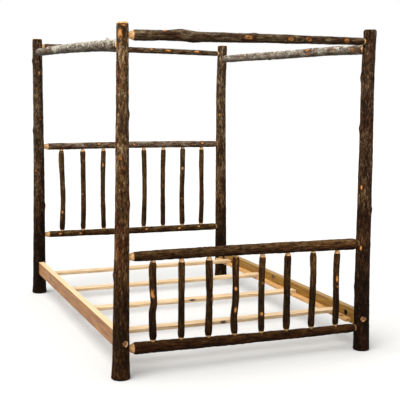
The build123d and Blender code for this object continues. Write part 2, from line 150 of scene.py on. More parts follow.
def log_finish(name, tones, lichen, furrow_mm, squat):
    """Bark on a log, with the bare wood of its whittled ends, knots and scuffs.

    tones are four bark colours from furrow to ridge, and lichen is the colour and the amount
    of the pale crust on the side that faces the sky. A furrow is furrow_mm wide, and squat is
    its width over its length. The patterns follow the log: they read its own coordinates,
    which run along it and across it.
    """
    finish, tree, shader = new_finish(name, Roughness=0.85, Specular_IOR_Level=0.06)
    at, tone = (put(tree, "ShaderNodeAttribute", attribute_name=key).outputs["Vector"]
                for key in ("log_at", "tone"))
    bare, scuff, edge, sky, crusty = (
        put(tree, "ShaderNodeAttribute", attribute_name=key).outputs["Fac"]
        for key in ("bare", "scuff", "edge", "sky", "crusty"))
    # each pattern has its width over its length, its width in millimetres, detail and roughness;
    # wood fibres are drawn 4 mm wide, many times coarser than real ones, so that they show
    patterns = {
        "ridges": (squat, furrow_mm, 5.0, 0.66),
        "pits": (0.45, furrow_mm / 2.4, 4.0, 0.70),
        "patches": (0.30, furrow_mm * 4.0, 3.0, 0.55),
        "red": (0.3, 55, 4.0, 0.65),
        "olive": (0.3, 38, 4.0, 0.65),
        "crust": (0.6, 22, 7.0, 0.78),
        "shreds": (0.4, 11, 5.0, 0.70),
        "fibres": (0.06, 4, 3.0, 0.5),
    }
    noise = {}
    for use, (stretch, size, detail, rough) in patterns.items():
        squeezed = put(tree, "ShaderNodeVectorMath", {0: at, 1: (1, 1, stretch)}, operation="MULTIPLY")
        noise[use] = put(tree, "ShaderNodeTexNoise", {"Vector": squeezed, "Scale": per_mm(size),
                                                      "Detail": detail, "Roughness": rough})

    # furrows with finer pits in them, which set both the shade and the relief
    fine = put(tree, "ShaderNodeMath", {0: noise["pits"], 1: 0.3}, operation="MULTIPLY")
    relief = put(tree, "ShaderNodeMath", {0: noise["ridges"], 1: 0.7, 2: fine}, operation="MULTIPLY_ADD")
    mottle = put(tree, "ShaderNodeMix", {"Factor": 0.27, "A": relief, "B": noise["patches"]})
    shade = put(tree, "ShaderNodeValToRGB", {"Fac": mottle},
                stops=list(zip((0.39, 0.47, 0.53, 0.61), tones)))

    # broad red brown and olive areas, plates with dark cracks, painted shade on the undersides, crust on
    # top
    oval = put(tree, "ShaderNodeVectorMath", {0: at, 1: (1, 1, 0.3)}, operation="MULTIPLY")
    plates = put(tree, "ShaderNodeTexVoronoi", {"Vector": oval, "Scale": per_mm(furrow_mm * 1.2),
                                                "Detail": 2.0}, feature="DISTANCE_TO_EDGE")
    crust, amount = lichen
    grown_over = put(tree, "ShaderNodeMath", {0: sky, 1: 0.2, 2: noise["crust"]},
                     operation="MULTIPLY_ADD")
    grown_over = put(tree, "ShaderNodeMath", {0: grown_over, 1: crusty}, operation="MULTIPLY")
    shade = coated(tree, shade,
                   (noise["red"], 0.50, 0.63, 0.8, "#8e6250", "SOFT_LIGHT"),
                   (noise["olive"], 0.52, 0.65, 0.8, "#868458", "SOFT_LIGHT"),
                   (plates, 0.10, 0.0, 0.4, tones[0], "MIX"),
                   # painted shade: a rail is darker on its underside
                   (sky, 0.42, 0.0, 0.55, "#54483c", "MULTIPLY"),
                   (grown_over, 0.72 - 0.13 * amount, 0.79 - 0.13 * amount, amount, crust, "MIX"))

    # the weather's colour and the painted shade at this height, times the log's own colour
    height = put(tree, "ShaderNodeSeparateXYZ", {0: put(tree, "ShaderNodeTexCoord").outputs["Object"]})
    share = put(tree, "ShaderNodeMapRange", {"Value": height.outputs["Z"], "From Max": POST_TOP})
    weather_and_shade = put(tree, "ShaderNodeValToRGB", {"Fac": share}, stops=WEATHER_AND_SHADE)
    shade = put(tree, "ShaderNodeVectorMath", {0: shade, 1: weather_and_shade}, operation="MULTIPLY")
    shade = put(tree, "ShaderNodeVectorMath", {0: shade, 1: tone}, operation="MULTIPLY")

    # scuffs show orange inner bark and knots a dark heart; whittled ends have a ragged border,
    # and painted shade darkens their wood towards the floor
    torn = put(tree, "ShaderNodeMath", {0: noise["shreds"], 1: 2.2, 2: -1.1}, operation="MULTIPLY_ADD")
    worn = put(tree, "ShaderNodeMath", {0: scuff, 1: torn}, operation="ADD")
    ragged = put(tree, "ShaderNodeMath", {0: torn, 1: 0.35, 2: bare}, operation="MULTIPLY_ADD")
    wood = put(tree, "ShaderNodeValToRGB", {"Fac": noise["fibres"]}, stops=PEELED)
    # painted shade: bare wood darker towards the floor
    wood = coated(tree, wood, (share, 0.45, 0.0, 0.4, "#a8907c", "MULTIPLY"))
    shade = coated(tree, shade,
                   (worn, 0.35, 0.60, 1.0, "#5e3615", "MIX"),
                   (worn, 0.60, 1.05, 1.0, "#b27c44", "MIX"),
                   (edge, 0.0, 1.0, 0.75, "#24150b", "MIX"),
                   (ragged, 0.38, 0.55, 1.0, "#6b3f1e", "MIX"),
                   (ragged, 0.50, 0.68, 1.0, wood, "MIX"))

    # bark is quite matt and the whittled wood a little smoother
    rough = put(tree, "ShaderNodeMapRange", {"Value": ragged, "From Min": 0.4, "From Max": 0.7,
                                             "To Min": 0.88, "To Max": 0.6})
    bump = put(tree, "ShaderNodeBump", {"Height": relief, "Distance": 0.004, "Strength": 0.9})
    feed(tree, shader, {"Base Color": shade, "Roughness": rough, "Normal": bump})
    return finish


RING_STRAY = (0.012, 0.012, 0.012)    # how far the ring bands stray from a straight line


def sawn_pine(name, tones, grain_mm, knot_colour, runs, side_rail=False):
    """Planed construction pine: straight ring bands along the board and a few oval knots.

    tones are four wood colours from late wood to early wood, grain_mm is the width of a ring
    band, and runs is the axis that the board runs along.
    """
    finish, tree, shader = new_finish(name, Roughness=0.55, Specular_IOR_Level=0.35)
    at = put(tree, "ShaderNodeTexCoord").outputs["Object"]
    along, oval = (put(tree, "ShaderNodeVectorMath", operation="MULTIPLY",
                       feeds={0: at, 1: [squeeze if axis == runs else 1 for axis in "XYZ"]})
                   for squeeze in (0.05, 0.55))
    wander = put(tree, "ShaderNodeTexNoise", {"Vector": along, "Scale": per_mm(60), "Detail": 2.0})
    moved = put(tree, "ShaderNodeVectorMath", {0: wander.outputs["Color"], 1: RING_STRAY, 2: along},
                operation="MULTIPLY_ADD")
    rings = put(tree, "ShaderNodeTexNoise", {"Vector": moved, "Scale": per_mm(grain_mm), "Detail": 2.5})
    # fibres are drawn 2.2 mm wide, many times coarser than real ones, so that they show
    fibres = put(tree, "ShaderNodeTexNoise", {"Vector": along, "Scale": per_mm(2.2), "Detail": 2.0})
    grain = put(tree, "ShaderNodeMix", {"Factor": 0.25, "A": rings, "B": fibres})
    shade = put(tree, "ShaderNodeValToRGB", {"Fac": grain},
                stops=list(zip((0.36, 0.47, 0.56, 0.68), tones)))

    # a few oval knots with a soft border
    knots = put(tree, "ShaderNodeTexVoronoi", {"Vector": oval, "Scale": per_mm(110), "Randomness": 1.0})
    blurred = put(tree, "ShaderNodeMath", {0: fibres, 1: 0.12, 2: knots.outputs["Distance"]},
                  operation="MULTIPLY_ADD")
    shade = coated(tree, shade, (blurred, 0.21, 0.13, 1.0, knot_colour, "MULTIPLY"))
    if side_rail:
        # the right hand plank is yellower heartwood, the left one's top edge has a painted highlight
        # in pale cream, and the wood round the nut pockets has painted shade, dark as in a recess
        place = put(tree, "ShaderNodeSeparateXYZ", {0: at})
        quarter = put(tree, "ShaderNodeVectorMath", {0: at}, operation="ABSOLUTE")
        away = put(tree, "ShaderNodeVectorMath", {0: quarter, 1: NUT_POCKET}, operation="DISTANCE")
        painted_pocket_shade = put(tree, "ShaderNodeMath", {0: wander, 1: 0.030, 2: away}, operation="MULTIPLY_ADD")
        # painted highlight: pale cream on the left plank's top edge; the right plank's top edge is plain
        # ochre
        top_edge_with_highlight = coated(tree, "#caa780", (place.outputs["X"], 0.0, 0.001, 1.0, "#80622f", "MIX"))
        shade = coated(tree, shade,
                       (place.outputs["X"], 0.0, 0.001, 1.0, "#f2ff66", "MULTIPLY"),
                       (place.outputs["Z"], RAIL_TOP - 0.003, RAIL_TOP, 1.0, top_edge_with_highlight, "MIX"),
                       # painted shade: dark round the nut pockets, where the recess lies in shade
                       (painted_pocket_shade, 0.044, 0.034, 1.0, "#1c110a", "MULTIPLY"))
    bump = put(tree, "ShaderNodeBump", {"Height": grain, "Distance": 0.0006, "Strength": 0.5})
    feed(tree, shader, {"Base Color": shade, "Normal": bump})
    return finish


def zinc_plated_steel():
    """Zinc plated steel: dull silver with a faint mottled haze from the plating bath.

    The haze is drawn 3 mm across, coarser than the real one, so that it shows.
    """
    finish, tree, shader = new_finish("zinc_plated_steel", Metallic=1.0)
    at = put(tree, "ShaderNodeTexCoord").outputs["Object"]
    haze = put(tree, "ShaderNodeTexNoise", {"Vector": at, "Scale": per_mm(3), "Detail": 3.0})
    shade = put(tree, "ShaderNodeValToRGB", {"Fac": haze}, stops=((0.35, "#8c9094"), (0.7, "#c2c4c2")))
    rough = put(tree, "ShaderNodeMapRange", {"Value": haze, "To Min": 0.3, "To Max": 0.55})
    feed(tree, shader, {"Base Color": shade, "Roughness": rough})
    return finish


def stained_plug():
    """Stained softwood plug in the mouth of each bolt hole: reddish brown end grain.

    The grain is drawn 5 mm across, coarser than real rings, so that it shows.
    """
    finish, tree, shader = new_finish("stained_wood_plug", Roughness=0.7)
    at = put(tree, "ShaderNodeTexCoord").outputs["Object"]
    grain = put(tree, "ShaderNodeTexNoise", {"Vector": at, "Scale": per_mm(5), "Detail": 3.0})
    shade = put(tree, "ShaderNodeValToRGB", {"Fac": grain}, stops=((0.35, "#422812"), (0.65, "#7c532c")))
    bump = put(tree, "ShaderNodeBump", {"Height": grain, "Distance": 0.0008})
    feed(tree, shader, {"Base Color": shade, "Normal": bump})
    return finish


finishes = {
    # old bark of a young hardwood log: matt, soft lengthwise furrows, blotches of red and olive
    "bark_post": log_finish("brown_log_bark", ("#170c05", "#2e1d0e", "#4a341e", "#826a4e"),
                            ("#8a7c66", 0.3), 9.0, 0.34),
    # the same bark on thinner poles: closer furrows, and a little crust on the upper side
    "bark_rail": log_finish("brown_pole_bark", ("#1a0f07", "#2f1d0f", "#463420", "#6c5943"),
                            ("#7c7058", 0.25), 7.0, 0.14),
    # young bark of sticks: darker and smoother, with only faint streaks
    "bark_spindle": log_finish("smooth_stick_bark", ("#160c05", "#2b1b0d", "#402c17", "#62492c"),
                               ("#6d6048", 0.2), 8.0, 0.28),
    # bark that weathered outdoors: dark brown cracks under a crackled silver crust
    "grey_bark_rail": log_finish("silver_weathered_bark", ("#221a14", "#453a30", "#645848", "#8a7c6c"),
                                 ("#988b78", 0.85), 6.0, 0.35),
    # planed pine in three batches: orange brown rails, honey cleats, pale dry slats
    "pine_board": sawn_pine("planed_pine_rail", ("#633a16", "#774b1e", "#845929", "#976935"), 9.0,
                            "#6a4020", "Y", side_rail=True),
    "pine_cleat": sawn_pine("planed_pine_cleat", ("#8e6436", "#a87c46", "#b88e58", "#c6a06c"), 6.0,
                            "#6a4020", "Y"),
    "pine_slat": sawn_pine("planed_pine_slat", ("#9b7d58", "#b5966f", "#c4aa84", "#d2ba98"), 7.0,
                           "#4a3018", "X"),
    "wood_plug": stained_plug(),
    "zinc_steel": zinc_plated_steel(),
}


# ------------------------------------------------------------------ the logs
@dataclass
class Log:
    """What the eye sees on one log, beyond the plain body of its CAD node.

    ends: for each end, how the whittled cone falls away (1 is a straight cone, less is a
    round shoulder) and the share of the cone that is bare wood. A post has none.
    scars: (share of the length, bearing in degrees, length, width, height) of a knot or a
    scuff. Bearing 0 faces the foot of the bed, or the left on the left and right canopy
    rails, and grows towards the right on an upright log and towards the sky on a rail.
    swellings: the same for lumps that keep their bark.
    bends: (share of the length, metres) by which the log strays to the right, or upwards.
    tone: how much red, green and blue its bark gives back, over the colours of its finish.
    light: (share of the length, level) by which the bark is paler or darker than that.
    crust: (share of the length, level) of the pale crust, 1 where it grows as usual.
    crown: how far the bark is trimmed back below the top of a post.
    step, facets: metres between the rings of the mesh, and corners in a ring.
    ridge, ridge_mm, lump: height of the bark ridges, their width, and height of the lumps.
    """
    ends: tuple = ()
    scars: tuple = ()
    swellings: tuple = ()
    bends: tuple = ()
    tone: tuple = (1.75, 1.75, 1.75)
    light: tuple = ((0.0, 1.0), (1.0, 1.0))
    crust: tuple = ((0.0, 1.0), (1.0, 1.0))
    crown: float = 0.005
    step: float = 0.005
    facets: int = 56
    ridge: float = 0.0060
    ridge_mm: float = 9.0
    lump: float = 0.005


# length, width and height of the usual marks; those that stand up have a dark heart
KNOT = (0.010, 0.009, 0.003)
BRANCH_KNOT = (0.020, 0.014, 0.003)
FLECK = (0.016, 0.009, 0.001)
LONG_FLECK = (0.030, 0.012, 0.001)
BUMP = (0.022, 0.020, 0.005)
KNOT_RISE = 0.002
logs = {
    "foot_post_left": Log(
        crown=0.012, tone=(2.3, 2.2, 2.0), bends=((0.5, 0.003),),
        scars=((0.968, -44, 0.030, 0.020, -0.001), (0.950, 42, 0.020, 0.010, 0.001),
               (0.990, -5, 0.008, 0.020, 0.0), (0.809, 48, 0.020, 0.010, 0.001),
               (0.633, -34, 0.018, 0.013, 0.003), (0.900, 50, 0.020, 0.006, 0.001)),
        swellings=((0.30, -120, *BUMP), (0.75, 80, *BUMP), (0.50, 60, *BUMP))),
    "foot_post_right": Log(
        crown=0.002, tone=(1.12, 1.0, 0.97), bends=((0.25, -0.006), (0.6, -0.005), (0.87, -0.007)),
        scars=((0.52, -60, *FLECK), (0.33, -50, *FLECK)),
        swellings=((0.855, -123, *BUMP), (0.70, -123, *BUMP), (0.45, 60, *BUMP),
                   (0.2, -130, *BUMP))),
    "head_post_left": Log(
        tone=(1.45, 1.45, 1.6), light=((0.1, 0.78), (0.45, 0.78), (0.65, 1.0)), bends=((0.5, 0.004),),
        scars=((0.810, -28, *KNOT), (0.691, 11, *KNOT), (0.490, -47, *KNOT), (0.87, 5, *FLECK)),
        swellings=((0.915, -102, *BUMP), (0.647, -102, *BUMP), (0.35, 80, *BUMP))),
    "head_post_right": Log(bends=((0.3, -0.004), (0.8, -0.010)), scars=((0.71, -40, *FLECK),)),
}


def node_mesh(node):
    """The node's vertices and a tree to cast rays at."""
    mesh = frame["nodes"][node].data
    corners = np.zeros(len(mesh.vertices) * 3, np.float64)
    mesh.vertices.foreach_get("co", corners)
    return corners.reshape(-1, 3), BVHTree.FromObject(frame["nodes"][node],
                                                      bpy.context.evaluated_depsgraph_get())


def circle_through(points):
    """Centre and radius of the best circle through points in a plane."""
    system = np.c_[2 * points, np.ones(len(points))]
    (x, y, k), *_ = np.linalg.lstsq(system, (points ** 2).sum(1), rcond=None)
    return np.array([x, y]), math.sqrt(k + x * x + y * y)


class Centreline:
    """The axis and the girth of a log, measured on its CAD node.

    It has two directions across the log: front is towards the foot of the bed, or the left
    on the left and right canopy rails, and other is to the right on an upright log and up on
    a rail.
    """
    END_FACE = 0.0015              # a point this near to an end belongs to its flat face
    INSET = 0.0004                 # the first and last measured rings lie inside the ends
    REACH = 0.12                   # rays start this far from the axis
    STRAY = 0.004                  # a hit this far off the usual girth is a mortise or a hole

    def __init__(self, node, step):
        points, rays = node_mesh(node)
        long = int(np.argmax(points.max(0) - points.min(0)))
        low, high = points[:, long].min(), points[:, long].max()
        start = points[points[:, long] < low + self.END_FACE].mean(0)
        end = points[points[:, long] > high - self.END_FACE].mean(0)
        self.start, self.length = start, float(np.linalg.norm(end - start))
        self.along = (end - start) / self.length
        front = np.array([-1.0, 0, 0]) if long == 1 else np.array([0, -1.0, 0])
        other = np.array([1.0, 0, 0]) if long == 2 else np.array([0, 0, 1.0])
        self.front = front - self.along * (front @ self.along)
        self.front /= np.linalg.norm(self.front)
        self.other = other - self.along * (other @ self.along)
        self.other -= self.front * (self.other @ self.front)
        self.other /= np.linalg.norm(self.other)
        self.lying = long != 2
        count = int(self.length / step)
        self.places = np.linspace(self.INSET, self.length - self.INSET, count)
        self.centres, self.radii = self.measure(rays)

    def bend(self, shares_and_offsets):
        """Moves the axis sideways by a smooth curve through the given offsets, none at the ends."""
        turns = [(0.0, 0.0), *shares_and_offsets, (1.0, 0.0)]
        fine = np.linspace(0, 1, len(self.places))
        rough = np.interp(fine, *zip(*turns))
        # smoothed over a twelfth of the length, and faded out over a twentieth at each end
        width = max(3, len(fine) // 12)
        window = np.hanning(width + 2)[1:-1]
        padded = np.pad(rough, width, mode="edge")
        smooth = np.convolve(padded, window / window.sum(), mode="same")[width:-width]
        fade = np.clip(np.minimum(fine, 1 - fine) * 20, 0, 1)
        self.centres[:, 1] += smooth * fade

    def measure(self, rays):
        """Casts rays inwards, 15 degrees apart, and fits a circle to what they hit."""
        angles = np.radians(np.arange(0, 360, 15))
        spokes = np.c_[np.cos(angles), np.sin(angles)]
        offset = np.zeros(2)
        offsets, radii = [], []
        for place in self.places:
            hits = []
            for spoke in spokes:
                across = spoke[0] * self.front + spoke[1] * self.other
                centre = self.start + self.along * place + offset[0] * self.front + offset[1] * self.other
                distance = rays.ray_cast(Vector(centre + across * self.REACH), Vector(-across),
                                         self.REACH)[3]
                if distance is not None:
                    hits.append(offset + spoke * (self.REACH - distance))
            hits = np.array(hits)
            spread = np.linalg.norm(hits - offset, axis=1)
            kept = hits[np.abs(spread - np.median(spread)) < self.STRAY]
            centre, radius = circle_through(kept)
            # the rays at the next place start from near here, so that a lean is followed
            offset = 0.5 * offset + 0.5 * centre
            offsets.append(centre)
            radii.append(radius)
        return np.array(offsets), np.array(radii)

    def point(self, place):
        """Centre of the log at each place along it."""
        sideways = [np.interp(place, self.places, self.centres[:, k]) for k in (0, 1)]
        return (self.start + np.outer(place, self.along) + np.outer(sideways[0], self.front)
                + np.outer(sideways[1], self.other))

    def local(self, points):
        """Place along, and the two distances across, of points near the log."""
        place = np.clip((points - self.start) @ self.along, 0, self.length)
        off = points - self.point(place)
        return place, off @ self.front, off @ self.other


CONE_SLOPE = 0.07              # where the girth falls faster than this, the log is whittled
BARK_EDGE = 5                  # how sharply bark gives way to bare wood on a cone


def whittled(line, log):
    """Girth along the log with rounded shoulders, and how bare the wood is there."""
    radii, bare = line.radii.copy(), np.zeros(len(line.radii))
    slope = np.abs(np.gradient(radii, line.places))
    half = len(radii) // 2
    for own, (power, share) in zip((slice(0, half), slice(half, None)), log.ends):
        steep = np.flatnonzero(slope[own] > CONE_SLOPE) + own.start
        thin, thick = sorted((radii[steep[0] - 1], radii[steep[-1] + 1]))
        fall = np.clip((radii[own] - thin) / (thick - thin), 0, 1)
        cone = np.zeros(len(fall), bool)
        cone[steep - own.start] = True
        radii[own] = np.where(cone, thin + (thick - thin) * fall ** power, radii[own])
        rings = np.arange(len(radii))[own]
        past = rings < steep[0] if own.start == 0 else rings > steep[-1]
        bare[own] = np.where(cone, np.clip((share - fall) * BARK_EDGE + 0.5, 0, 1), past)
    return radii, bare


def path_object(name, points, girth, bare):
    """A line of edges that carries its girth and bareness, for the tube tree."""
    mesh = bpy.data.meshes.new(name)
    mesh.from_pydata([tuple(p) for p in points], [(k, k + 1) for k in range(len(points) - 1)], [])
    for key, values in (("girth", girth), ("bare", bare)):
        values = np.asarray(values, np.float32)
        mesh.attributes.new(key, "FLOAT", "POINT").data.foreach_set("value", values)
    piece = bpy.data.objects.new(name, mesh)
    bpy.context.scene.collection.objects.link(piece)
    return piece


LUMPS_PER_METRE = 7.0          # a lump is about 140 mm long
SMOOTHED = 0.85                # how much of the bark relief is gone on bare wood


def log_tree():
    """A closed tube along a path, with bark ridges that run lengthwise and broad lumps."""
    tree = bpy.data.node_groups.new("log_with_bark", "GeometryNodeTree")
    for name, kind in (("Path", "Geometry"), ("Facets", "Int"), ("Ridge height", "Float"),
                       ("Ridge size", "Float"), ("Lump height", "Float"), ("Seed", "Float"),
                       ("Finish", "Material")):
        tree.interface.new_socket(name, in_out="INPUT", socket_type="NodeSocket" + kind)
    tree.interface.new_socket("Log", in_out="OUTPUT", socket_type="NodeSocketGeometry")
    given = put(tree, "NodeGroupInput").outputs

    # the path gives girth and bareness; run is the way along it, and spoke the way across
    girth, bare, run, spoke = (
        put(tree, "GeometryNodeInputNamedAttribute", {"Name": key}, data_type=kind)
        for key, kind in (("girth", "FLOAT"), ("bare", "FLOAT"), ("run", "FLOAT"),
                          ("spoke", "FLOAT_VECTOR")))
    ring = put(tree, "GeometryNodeCurvePrimitiveCircle", {"Resolution": given["Facets"], "Radius": 1.0})
    ring = put(tree, "GeometryNodeStoreNamedAttribute",
               {"Geometry": ring, "Name": "spoke", "Value": put(tree, "GeometryNodeInputPosition")},
               data_type="FLOAT_VECTOR", domain="POINT")
    line = put(tree, "GeometryNodeMeshToCurve", {"Mesh": given["Path"]})
    span = put(tree, "GeometryNodeSplineParameter").outputs["Length"]
    line = put(tree, "GeometryNodeStoreNamedAttribute", {"Geometry": line, "Name": "run", "Value": span},
               data_type="FLOAT", domain="POINT")
    tube = put(tree, "GeometryNodeCurveToMesh", {"Curve": line, "Profile Curve": ring,
                                                 "Scale": girth, "Fill Caps": True})

    # the bark's relief, in coordinates that run along the log and across it
    across = put(tree, "ShaderNodeVectorMath", {0: spoke, "Scale": girth}, operation="SCALE")
    run = put(tree, "ShaderNodeCombineXYZ", {"Z": run})
    at = put(tree, "ShaderNodeVectorMath", {0: across, 1: run}, operation="ADD")
    thin = put(tree, "ShaderNodeVectorMath", {0: at, 1: (1, 1, 0.25)}, operation="MULTIPLY")
    ridges = put(tree, "ShaderNodeTexNoise",
                 {"Vector": thin, "W": given["Seed"], "Scale": given["Ridge size"], "Detail": 3.0,
                  "Roughness": 0.6}, noise_dimensions="4D")
    lumps = put(tree, "ShaderNodeTexNoise",
                {"Vector": at, "W": given["Seed"], "Scale": LUMPS_PER_METRE, "Detail": 2.0},
                noise_dimensions="4D")
    rise = 0.0
    for pattern, most in ((ridges, given["Ridge height"]), (lumps, given["Lump height"])):
        centred = put(tree, "ShaderNodeMath", {0: pattern, 1: 0.5}, operation="SUBTRACT")
        rise = put(tree, "ShaderNodeMath", {0: centred, 1: most, 2: rise}, operation="MULTIPLY_ADD")
    kept = put(tree, "ShaderNodeMath", {0: bare, 1: -SMOOTHED, 2: 1.0}, operation="MULTIPLY_ADD")
    rise = put(tree, "ShaderNodeMath", {0: rise, 1: kept}, operation="MULTIPLY")
    offset = put(tree, "ShaderNodeVectorMath", {0: put(tree, "GeometryNodeInputNormal"), "Scale": rise},
                 operation="SCALE")
    tube = put(tree, "GeometryNodeSetPosition", {"Geometry": tube, "Offset": offset})
    tube = put(tree, "GeometryNodeSetShadeSmooth", {"Geometry": tube})
    tube = put(tree, "GeometryNodeRealizeInstances", {"Geometry": tube})
    tube = put(tree, "GeometryNodeSetMaterial", {"Geometry": tube, "Material": given["Finish"]})
    put(tree, "NodeGroupOutput", {"Log": tube})
    return tree


tube_tree = log_tree()


def grown(piece, **inputs):
    """Runs the tube tree on a path object and leaves the result as a plain mesh."""
    growth = piece.modifiers.new("growth", "NODES")
    growth.node_group = tube_tree
    keys = {s.name: s.identifier for s in tube_tree.interface.items_tree if s.in_out == "INPUT"}
    for name, value in inputs.items():
        growth[keys[name.replace("_", " ")]] = value
    graph = bpy.context.evaluated_depsgraph_get()
    solid = bpy.data.meshes.new_from_object(piece.evaluated_get(graph))
    piece.modifiers.remove(growth)
    piece.data = solid
    return piece


def co_of(mesh):
    """The places of a mesh's vertices."""
    points = np.zeros(len(mesh.vertices) * 3)
    mesh.vertices.foreach_get("co", points)
    return points.reshape(-1, 3)


def bolt_holes():
    """Centre and radius of the plug in each post, and the way along Y that its hole opens."""
    points, _ = node_mesh("bolt_plugs")
    found = {}
    for side, word in ((-1, "left"), (1, "right")):
        for end, place in ((-1, "foot"), (1, "head")):
            own = points[(points[:, 0] * side > 0) & (points[:, 1] * end > 0)]
            low, high = own.min(0), own.max(0)
            found[f"{place}_post_{word}"] = ((low + high) / 2, (high[0] - low[0]) / 2, end)
    return found


plugs = bolt_holes()
BORE_DEPTH = 0.0215            # how deep a counterbore goes below the bark
RIM_WIDTH, RIM_DEPTH = 0.0065, 0.006
HOLE_PLAY = 0.0004             # gap round a plug
RIM_BARE = 0.62                # how bare the whittled rim is: its bark is thin, not gone
RIM_FADE = 0.004
HOLE_SIDE = 0.03               # points no deeper than this behind a hole's mouth are on its side


def drilled(piece, node, line):
    """Cuts the counterbore and its whittled mouth into a post, and gives its mouth and radius."""
    centre, radius, end = plugs[node]
    place, _, _ = line.local(centre[None])
    axis = line.point(place)[0]
    surface = float(np.interp(place[0], line.places, line.radii))
    out = np.array([0, float(end), 0])
    skin = axis[1] + end * math.sqrt(surface ** 2 - (centre[0] - axis[0]) ** 2)
    mouth = np.array([centre[0], skin, centre[2]])
    radii = [radius + HOLE_PLAY, radius + HOLE_PLAY, radius + HOLE_PLAY + 3 * RIM_WIDTH]
    depths = [-BORE_DEPTH, -RIM_DEPTH, 2 * RIM_DEPTH]
    cutter = path_object("cutter", [mouth + out * d for d in depths], radii, [1, 1, 1])
    grown(cutter, Facets=48, Ridge_height=0.0, Ridge_size=1.0, Lump_height=0.0, Seed=0.0)
    cut = piece.modifiers.new("bore", "BOOLEAN")
    cut.operation, cut.solver, cut.object = "DIFFERENCE", "EXACT", cutter
    graph = bpy.context.evaluated_depsgraph_get()
    solid = bpy.data.meshes.new_from_object(piece.evaluated_get(graph))
    piece.modifiers.remove(cut)
    piece.data = solid
    bpy.data.objects.remove(cutter)
    return mouth, radius


# in a mark's own half sizes: where its bare wood ends, where the dark border runs and how
# fast that fades, and how large the dark heart of a knot is
SCUFF_END, BORDER_AT, BORDER_FADE, HEART_SIZE = 1.35, 1.25, 2.2, 0.6
TRIM_FADE = 0.006              # height of the fade from bark to bare wood at the top of a post
PATTERN_SHIFT = 3.7            # keeps the bark of two logs from being alike


def dress(piece, line, log, path_bare, bored=None):
    """Adds knots and scuffs to the shape, and the attributes that the finishes read."""
    mesh = piece.data
    points = co_of(mesh)
    place, front, other = line.local(points)
    bearing = np.degrees(np.arctan2(other, front))
    radius = np.hypot(front, other)
    outward = np.outer(front, line.front) + np.outer(other, line.other)
    outward /= np.maximum(radius, 1e-6)[:, None]
    bare = np.interp(place, line.places, path_bare)
    edge, scuff = np.zeros(len(points)), np.zeros(len(points))
    marks = [(mark, True) for mark in log.scars] + [(mark, False) for mark in log.swellings]
    for (spot, facing, long, wide, height), is_scar in marks:
        turn = (bearing - facing + 180) % 360 - 180
        away = np.hypot((place - spot * line.length) / long, np.radians(turn) * radius / wide)
        points = points + outward * (height * np.exp(-away ** 2))[:, None]
        if is_scar:
            scuff = np.maximum(scuff, np.clip(SCUFF_END - away, 0, 1))
            border = np.clip(1 - np.abs(away - BORDER_AT) * BORDER_FADE, 0, 1)
            heart = np.clip(1.3 - away / HEART_SIZE, 0, 1) * (height > KNOT_RISE)
            edge = np.maximum(edge, np.maximum(border, heart))
    if bored is not None:
        mouth, hole = bored
        near = np.hypot(points[:, 0] - mouth[0], points[:, 2] - mouth[2])
        same_side = (points[:, 1] - mouth[1]) * np.sign(mouth[1]) > -HOLE_SIDE
        rim = np.clip((hole + RIM_WIDTH + RIM_FADE / 2 - near) / RIM_FADE, 0, RIM_BARE)
        bare = np.where(same_side, np.maximum(bare, rim), bare)
    if not log.ends:
        bare = np.maximum(bare, np.clip((place - (line.length - log.crown)) / TRIM_FADE, 0, 1))
    points[:, 2] = np.maximum(points[:, 2], 0.0)
    mesh.vertices.foreach_set("co", points.ravel())

    share = place / line.length
    shift = PATTERN_SHIFT * (sum(map(ord, piece.name)) % 97)
    attributes = {
        "bare": bare,
        "scuff": scuff,
        "edge": edge,
        # how much a point faces up; it sets the crust on top and the painted shade underneath
        "sky": np.clip(0.5 + 0.6 * line.lying * outward[:, 2], 0, 1),
        "crusty": np.interp(share, *zip(*log.crust)),
        "log_at": np.c_[front, other, place + shift],
        "tone": np.outer(np.interp(share, *zip(*log.light)), log.tone),
    }
    for key in ("girth", "run", "spoke", "bare"):
        if key in mesh.attributes:
            mesh.attributes.remove(mesh.attributes[key])
    for key, values in attributes.items():
        kind, field = ("FLOAT", "value") if values.ndim == 1 else ("FLOAT_VECTOR", "vector")
        values = values.astype(np.float32).ravel()
        mesh.attributes.new(key, kind, "POINT").data.foreach_set(field, values)
    mesh.update()


def closed_path(line, radii, bare):
    """Adds a few shrinking rings at both ends, so that the sawn ends are closed."""
    points = line.point(line.places)
    # the share of the girth, and the metres past the end
    ends = ((0.97, 0.0002), (0.66, 0.0003), (0.33, 0.00035), (0.03, 0.0004))
    first = [points[0] - line.along * d for _, d in ends[::-1]]
    last = [points[-1] + line.along * d for _, d in ends]
    girth = [radii[0] * k for k, _ in ends[::-1]] + list(radii) + [radii[-1] * k for k, _ in ends]
    return (np.vstack([first, points, last]), girth,
            np.concatenate([np.full(len(ends), bare[0]), bare, np.full(len(ends), bare[-1])]))


def make_log(node, log):
    """Grows the log that stands for a CAD node, and dresses it."""
    line = Centreline(node, log.step)
    line.bend(log.bends)
    radii, bare = whittled(line, log)
    points, girth, bareness = closed_path(line, radii, bare)
    piece = path_object(f"{node}_log", points, girth, bareness)
    finish = finishes[slot_of[node]]
    grown(piece, Facets=log.facets, Ridge_height=log.ridge, Ridge_size=per_mm(log.ridge_mm),
          Lump_height=log.lump, Seed=float(sum(map(ord, node)) % 61), Finish=finish)
    bored = drilled(piece, node, line) if node in plugs else None
    dress(piece, line, log, bare, bored)
    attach(piece, "root")
    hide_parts(node)


# mesh and bark relief of the poles, the rough footboard poles and the sticks
POLE = dict(step=0.0045, facets=44, ridge=0.0052, ridge_mm=8.0, lump=0.008)
ROUGH_POLE = {**POLE, "ridge": 0.0085}
STICK = dict(step=0.0045, facets=28, ridge=0.003, ridge_mm=7.0, lump=0.008)
